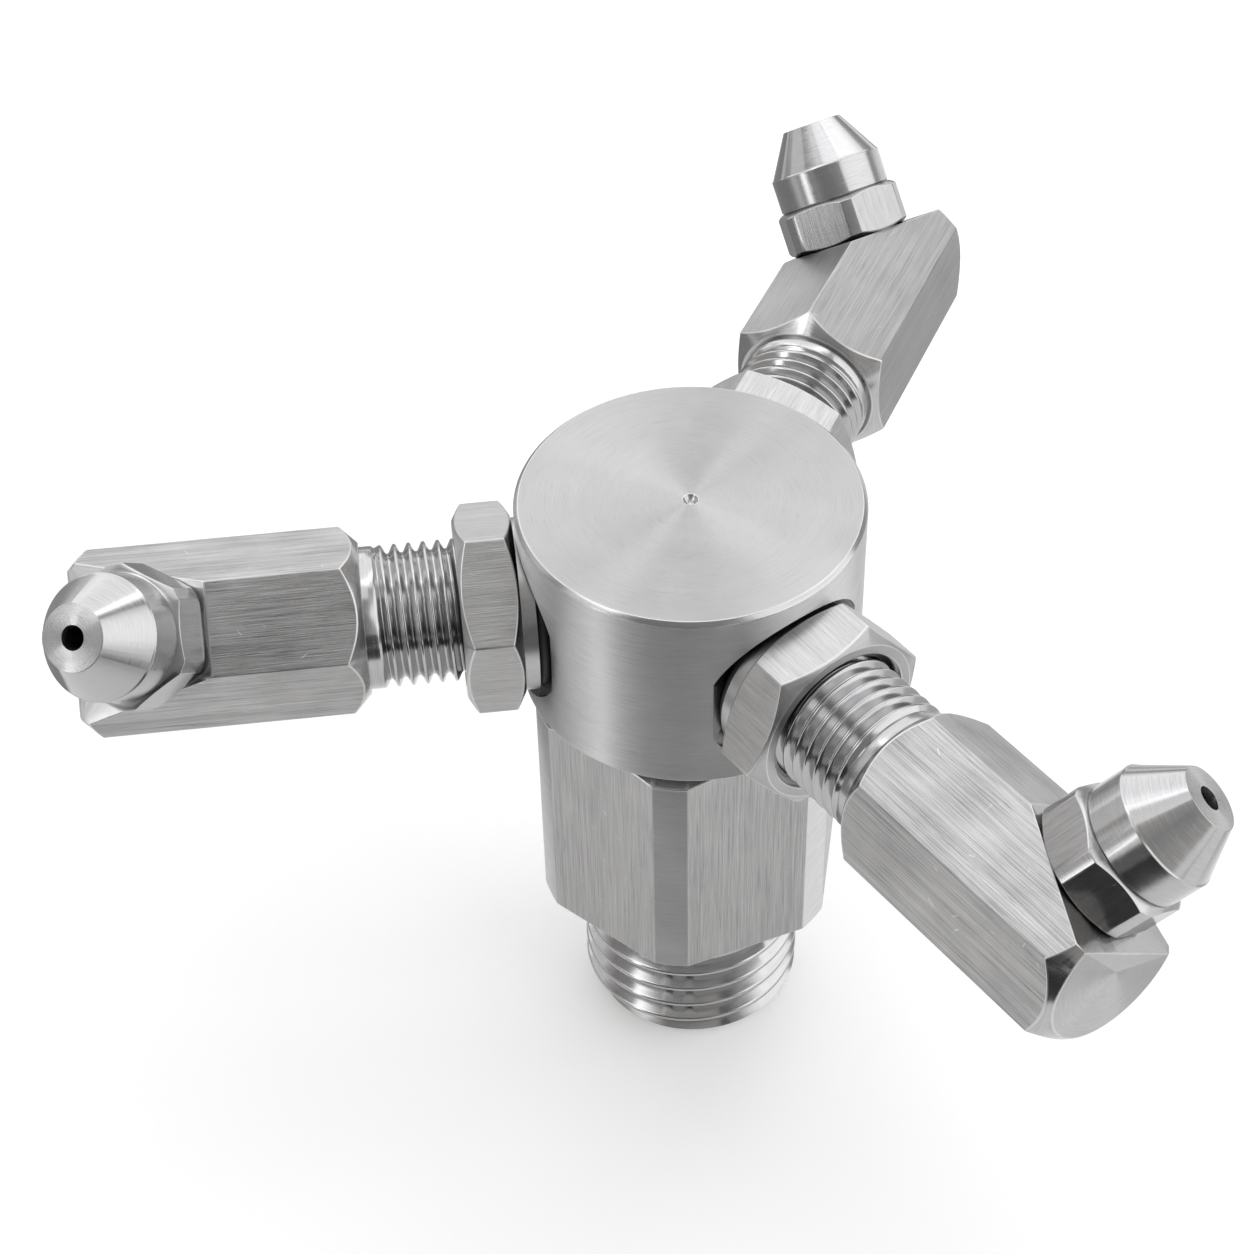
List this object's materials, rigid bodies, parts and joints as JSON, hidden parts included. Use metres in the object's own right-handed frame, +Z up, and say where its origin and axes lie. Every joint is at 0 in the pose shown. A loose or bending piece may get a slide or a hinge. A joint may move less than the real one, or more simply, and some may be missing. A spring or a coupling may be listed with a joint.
{
  "type": "rotating cleaning nozzle",
  "caption": "Rotating cleaning nozzle: a jet head with hexagon arms and angled nozzle tips that spins on a swivel body with a male thread inlet.",
  "frame": {"origin": "on the swivel axis, at the shoulder where the inlet thread meets the swivel body's hexagon", "axes": "+Z up along the swivel axis, from the inlet to the hub's closed top; -X along the first arm's axis"},
  "size_m": [0.0966, 0.107, 0.0702],
  "materials": {
    "hex_steel": "drawn stainless hexagon bar, brushed lengthways",
    "turned_steel": "fine turned stainless steel",
    "bearing_steel": "ground and polished",
    "spring_steel": "dark phosphated spring steel",
    "cage_plastic": "natural nylon",
    "seal_rubber": "black rubber"
  },
  "bodies": {
    "swivel": {"swivel_body": "hex_steel", "lower_outer_race": "bearing_steel", "upper_outer_race": "bearing_steel", "outer_spacer": "turned_steel", "retaining_ring": "spring_steel", "shaft_seal": "seal_rubber", "dust_seal": "seal_rubber"},
    "head": {"hub": "turned_steel", "rotor_shaft": "turned_steel", "hub_o_ring": "seal_rubber", "lower_inner_race": "bearing_steel", "upper_inner_race": "bearing_steel", "inner_spacer": "turned_steel", "lock_nut_a": "hex_steel", "port_washer_a": "turned_steel", "port_o_ring_a": "seal_rubber", "lock_nut_b": "hex_steel", "port_washer_b": "turned_steel", "port_o_ring_b": "seal_rubber", "lock_nut_c": "hex_steel", "port_washer_c": "turned_steel", "port_o_ring_c": "seal_rubber"},
    "lower_ball_set": {"lower_balls": "bearing_steel", "lower_ball_cage": "cage_plastic"},
    "upper_ball_set": {"upper_balls": "bearing_steel", "upper_ball_cage": "cage_plastic"},
    "arm_a": {"arm_body_a": "hex_steel", "nozzle_tip_a": "turned_steel", "nozzle_seal_a": "seal_rubber"},
    "arm_b": {"arm_body_b": "hex_steel", "nozzle_tip_b": "turned_steel", "nozzle_seal_b": "seal_rubber"},
    "arm_c": {"arm_body_c": "hex_steel", "nozzle_tip_c": "turned_steel", "nozzle_seal_c": "seal_rubber"}
  },
  "joints": [
    {"name": "head_spin", "type": "hinge", "parent": "swivel", "child": "head", "pos_m": [0, 0, 0.0278], "axis": [0, 0, 1], "continuous": true},
    {"name": "lower_ball_orbit", "type": "hinge", "parent": "swivel", "child": "lower_ball_set", "pos_m": [0, 0, 0.0105], "axis": [0, 0, 1], "continuous": true},
    {"name": "upper_ball_orbit", "type": "hinge", "parent": "swivel", "child": "upper_ball_set", "pos_m": [0, 0, 0.021], "axis": [0, 0, 1], "continuous": true},
    {"name": "arm_a_set", "type": "hinge", "parent": "head", "child": "arm_a", "pos_m": [-0.03, 0, 0.0372], "axis": [-1, 0, 0], "range_deg": [-180, 180]},
    {"name": "arm_b_set", "type": "hinge", "parent": "head", "child": "arm_b", "pos_m": [0.015, -0.02598, 0.0372], "axis": [0.5, -0.866, 0], "range_deg": [-180, 180]},
    {"name": "arm_c_set", "type": "hinge", "parent": "head", "child": "arm_c", "pos_m": [0.015, 0.02598, 0.0372], "axis": [0.5, 0.866, 0], "range_deg": [-180, 180]}
  ],
  "couplings": [
    {"joint": "lower_ball_orbit", "follows": "head_spin", "ratio": 0.4278},
    {"joint": "upper_ball_orbit", "follows": "head_spin", "ratio": 0.4278}
  ]
}
